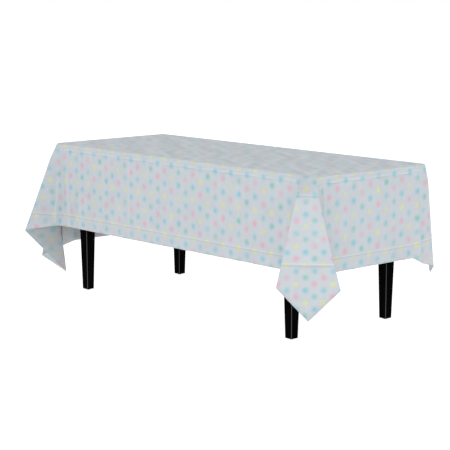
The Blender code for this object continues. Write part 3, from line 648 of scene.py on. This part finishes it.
def dot_print_group():
    """Round dots on a lattice whose odd columns drop half a row.

    The nearest column is the rounded first coordinate, and the nearest row the rounded second one
    plus half on odd columns. Their offsets times the pitch give the distance from the dot's centre.
    Colour follows the column modulo four and the row modulo three, and every dot has its own ink weight.
    """
    g, given, out = group("dot_print", [("Place", "Vector"), ("Pitch", "Vector")],
                          [("Color", "Color"), ("Mask", "Float")])
    place = g.add("ShaderNodeSeparateXYZ", i0=given["Place"]).outputs
    pitch = g.add("ShaderNodeSeparateXYZ", i0=given["Pitch"]).outputs
    column = g.sum("ROUND", place["X"])
    odd = g.sum("MULTIPLY", g.sum("FLOORED_MODULO", column, 2.0), 0.5)
    lowered = g.sum("ADD", place["Y"], odd)
    row = g.sum("ROUND", lowered)
    dx = g.sum("MULTIPLY", g.sum("SUBTRACT", place["X"], column), pitch["X"])
    dy = g.sum("MULTIPLY", g.sum("SUBTRACT", lowered, row), pitch["Y"])
    away = g.sum("SQRT", g.sum("ADD", g.sum("MULTIPLY", dx, dx), g.sum("MULTIPLY", dy, dy)))
    soft = g.sum("MULTIPLY", pitch["Z"], DOT_SOFTNESS)
    edge = g.sum("DIVIDE", g.sum("SUBTRACT", pitch["Z"], away), soft)
    mask = g.add("ShaderNodeClamp", Value=g.sum("ADD", g.sum("MULTIPLY", edge, 0.5), 0.5)).outputs[0]
    column_key = g.sum("MULTIPLY", g.sum("FLOORED_MODULO", column, COLUMN_COLOURS), ROW_COLOURS)
    key = g.sum("ADD", column_key, g.sum("FLOORED_MODULO", row, ROW_COLOURS))
    ramp = g.add("ShaderNodeValToRGB", Fac=g.sum("DIVIDE", g.sum("ADD", key, 0.5), len(DOT_ORDER)))
    ramp.color_ramp.interpolation = "CONSTANT"
    for i, colour in enumerate(DOT_ORDER):
        stop = ramp.color_ramp.elements[i] if i < 2 else ramp.color_ramp.elements.new(i / len(DOT_ORDER))
        stop.position = i / len(DOT_ORDER)
        stop.color = (*colour, 1.0)
    g.put(out["Color"], ramp.outputs["Color"])
    which = g.add("ShaderNodeCombineXYZ", X=column, Y=row).outputs[0]
    weight = g.add("ShaderNodeTexWhiteNoise", {"noise_dimensions": "2D"}, Vector=which).outputs["Value"]
    ink = g.sum("ADD", g.sum("MULTIPLY", weight, INK_SPREAD), INK_LEAST)
    g.put(out["Mask"], g.sum("MULTIPLY", mask, ink))
    return g.tree


def mottle_group():
    """Milky patches: a broad cloud of noise and a finer, twisted one, each between zero and one."""
    g, given, out = group("film_mottle", [("Place", "Vector")], [("Broad", "Float"), ("Fine", "Float")])
    broad = g.add("ShaderNodeTexNoise", Vector=given["Place"], Scale=9.0, Detail=4.0)
    fine = g.add("ShaderNodeTexNoise", Vector=given["Place"], Scale=34.0, Detail=5.0, Roughness=0.6,
                 Distortion=0.9)
    g.put(out["Broad"], broad.outputs["Fac"])
    g.put(out["Fine"], fine.outputs["Fac"])
    return g.tree


def film_material(name, outer):
    """Milky film with soft printed dots, cloudy thickness, fine crinkles and painted highlight and shade
    along its creases and wrinkles.

    The printed colour is laid over the film by the dot mask times a cloudy ink strength. The result is
    multiplied by one, or by less on the inner face as painted shade, plus a share of the painted crease and
    wrinkle shading and of the mottle.
    """
    made = bpy.data.materials.new(name)
    made.use_nodes = True
    g = Graph(made.node_tree)
    shader = made.node_tree.nodes["Principled BSDF"]
    painted_inner_shade = 1.0 if outer else INNER_PAINTED_SHADE
    place = g.add("ShaderNodeUVMap", {"uv_map": "print"}).outputs[0]
    pitch = g.add("ShaderNodeAttribute", {"attribute_name": "dot_pitch"}).outputs["Vector"]
    dots = g.add("ShaderNodeGroup", {"node_tree": bpy.data.node_groups.get("dot_print") or dot_print_group()},
                 Place=place, Pitch=pitch)
    here = g.add("ShaderNodeTexCoord").outputs["Object"]
    cloud = g.add("ShaderNodeGroup", {"node_tree": bpy.data.node_groups.get("film_mottle") or mottle_group()},
                  Place=here).outputs
    painted_shading = g.add("ShaderNodeAttribute", {"attribute_name": "pressed"}).outputs["Fac"]
    flat = g.add("ShaderNodeAttribute", {"attribute_name": "on_top"}).outputs["Fac"]
    ink = g.sum("ADD", g.sum("MULTIPLY", cloud["Fine"], INK_BY_CLOUD), INK_OUTER if outer else INK_INNER)
    ink = g.sum("MULTIPLY", ink, g.sum("SUBTRACT", 1.0, g.sum("MULTIPLY", flat, TOP_INK_LOSS)))
    strength = g.sum("MULTIPLY", dots.outputs["Mask"], ink)
    warm = [part * tint for part, tint in zip(FILM_COLOUR, WARM_TINT)]
    film = g.mixed(cloud["Fine"], (*FILM_COLOUR, 1.0), (*warm, 1.0))
    printed = g.mixed(strength, film, dots.outputs["Color"])
    # the colour's multiplier: the painted crease and wrinkle shading, the inner face's painted shade and the
    # mottle
    level = g.sum("ADD", g.sum("MULTIPLY", painted_shading, FOLD_PAINTED_SHADING_SHARE), painted_inner_shade)
    level = g.sum("ADD", level, g.sum("MULTIPLY", g.sum("SUBTRACT", cloud["Broad"], 0.5), BROAD_TONE))
    level = g.sum("ADD", level, g.sum("MULTIPLY", g.sum("SUBTRACT", cloud["Fine"], 0.5), FINE_TONE))
    g.put(shader.inputs["Base Color"], g.mixed(1.0, printed, level, "MULTIPLY"))
    crinkles = g.add("ShaderNodeBump", Strength=0.4, Distance=0.003, Height=cloud["Fine"])
    g.put(shader.inputs["Normal"], crinkles.outputs[0])
    g.put(shader.inputs["Roughness"], g.sum("ADD", g.sum("MULTIPLY", cloud["Broad"], 0.16), 0.36))
    shader.inputs["Specular IOR Level"].default_value = 0.35
    return made


def worn_group():
    """Uneven rubbing and fine pores: two noises, the second drawn out along one axis."""
    g, given, out = group("wear", [("Place", "Vector"), ("Stretch", "Vector")],
                          [("Rub", "Float"), ("Grain", "Float")])
    rub = g.add("ShaderNodeTexNoise", Vector=given["Place"], Scale=14.0, Detail=5.0)
    drawn = g.add("ShaderNodeVectorMath", {"operation": "MULTIPLY"}, i0=given["Place"], i1=given["Stretch"])
    grain = g.add("ShaderNodeTexNoise", Vector=drawn.outputs[0], Scale=1.0, Detail=6.0, Roughness=0.6,
                  Distortion=0.4)
    g.put(out["Rub"], rub.outputs["Fac"])
    g.put(out["Grain"], grain.outputs["Fac"])
    return g.tree


def hard_material(name, dark, light, stretch, rough, bump, metal=0.0, shine=0.5):
    """A hard finish: its colour runs from dark to light with the grain and its roughness with the rubbing."""
    made = bpy.data.materials.new(name)
    made.use_nodes = True
    g = Graph(made.node_tree)
    shader = made.node_tree.nodes["Principled BSDF"]
    here = g.add("ShaderNodeTexCoord").outputs["Object"]
    wear = g.add("ShaderNodeGroup", {"node_tree": bpy.data.node_groups.get("wear") or worn_group()},
                 Place=here, Stretch=stretch).outputs
    share = g.add("ShaderNodeMapRange", Value=wear["Grain"], From_Min=0.35, From_Max=0.65).outputs[0]
    g.put(shader.inputs["Base Color"], g.mixed(share, (*dark, 1.0), (*light, 1.0)))
    g.put(shader.inputs["Roughness"], g.sum("ADD", g.sum("MULTIPLY", wear["Rub"], 0.20), rough - 0.10))
    pores = g.add("ShaderNodeBump", Strength=0.3, Distance=bump, Height=wear["Grain"])
    g.put(shader.inputs["Normal"], pores.outputs[0])
    shader.inputs["Metallic"].default_value = metal
    shader.inputs["Specular IOR Level"].default_value = shine
    return made


# the colour of the painted highlight along the legs' long corners
PAINTED_EDGE_HIGHLIGHT_GREY = (0.085,) * 3


def lacquer_legs(leg_x, leg_y):
    """Black lacquer on the legs, with a painted highlight in pale grey along the long corners.

    A corner is where the distances from the leg's middle along X and along Y are nearly equal.
    """
    made = hard_material("black_lacquer_leg", dark=(0.0015,) * 3, light=(0.0030,) * 3, stretch=(60, 60, 9),
                         rough=0.45, bump=0.0003, shine=0.0)
    g = Graph(made.node_tree)
    shader = made.node_tree.nodes["Principled BSDF"]
    here = g.add("ShaderNodeTexCoord").outputs["Object"]
    part = g.add("ShaderNodeSeparateXYZ", i0=here).outputs
    u = g.sum("ABSOLUTE", g.sum("SUBTRACT", g.sum("ABSOLUTE", part["X"]), leg_x))
    v = g.sum("ABSOLUTE", g.sum("SUBTRACT", g.sum("ABSOLUTE", part["Y"]), leg_y))
    apart = g.sum("ABSOLUTE", g.sum("SUBTRACT", u, v))
    # painted highlight on the corners, in place of light caught by the chamfers
    edge_highlight = g.add("ShaderNodeMapRange", Value=apart, From_Min=0.0026, From_Max=0.0012).outputs[0]
    was = shader.inputs["Base Color"].links[0].from_socket
    g.put(shader.inputs["Base Color"], g.mixed(edge_highlight, was, (*PAINTED_EDGE_HIGHLIGHT_GREY, 1.0)))
    return made


def finish_table():
    """Every part of the table gets its finish by the start of its name, the first match in the list."""
    low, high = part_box("leg_front_right")
    legs = lacquer_legs((low.x + high.x) / 2, -(low.y + high.y) / 2)
    black = hard_material("black_lacquer", dark=(0.002,) * 3, light=(0.006,) * 3, stretch=(9, 60, 60),
                          rough=0.4, bump=0.0003, shine=0.1)
    board = hard_material("board_wood", dark=(0.36, 0.25, 0.15), light=(0.58, 0.44, 0.29),
                          stretch=(5, 70, 70), rough=0.55, bump=0.0006)
    steel = hard_material("zinc_steel", dark=(0.45, 0.47, 0.49), light=(0.62, 0.63, 0.64),
                          stretch=(60, 60, 60), rough=0.38, bump=0.0002, metal=1.0)
    nylon = hard_material("glide_nylon", dark=(0.035,) * 3, light=(0.060,) * 3, stretch=(90, 90, 90),
                          rough=0.5, bump=0.0002)
    chosen = (("leg_bolt", steel), ("leg_", legs), ("table_top", board), ("centre_rail", board),
              ("front_apron", black), ("back_apron", black), ("left_apron", black), ("right_apron", black),
              ("floor_glide", nylon), ("", steel))
    for node in bpy.data.objects:
        if node.type != "MESH" or node.name in ("film_cloth", "floor"):
            continue
        node.data.materials.clear()
        node.data.materials.append(next(made for start, made in chosen if node.name.startswith(start)))


# ---------------------------------------------------------------- make everything

set_camera()
set_studio()
make_cloth()
finish_table()
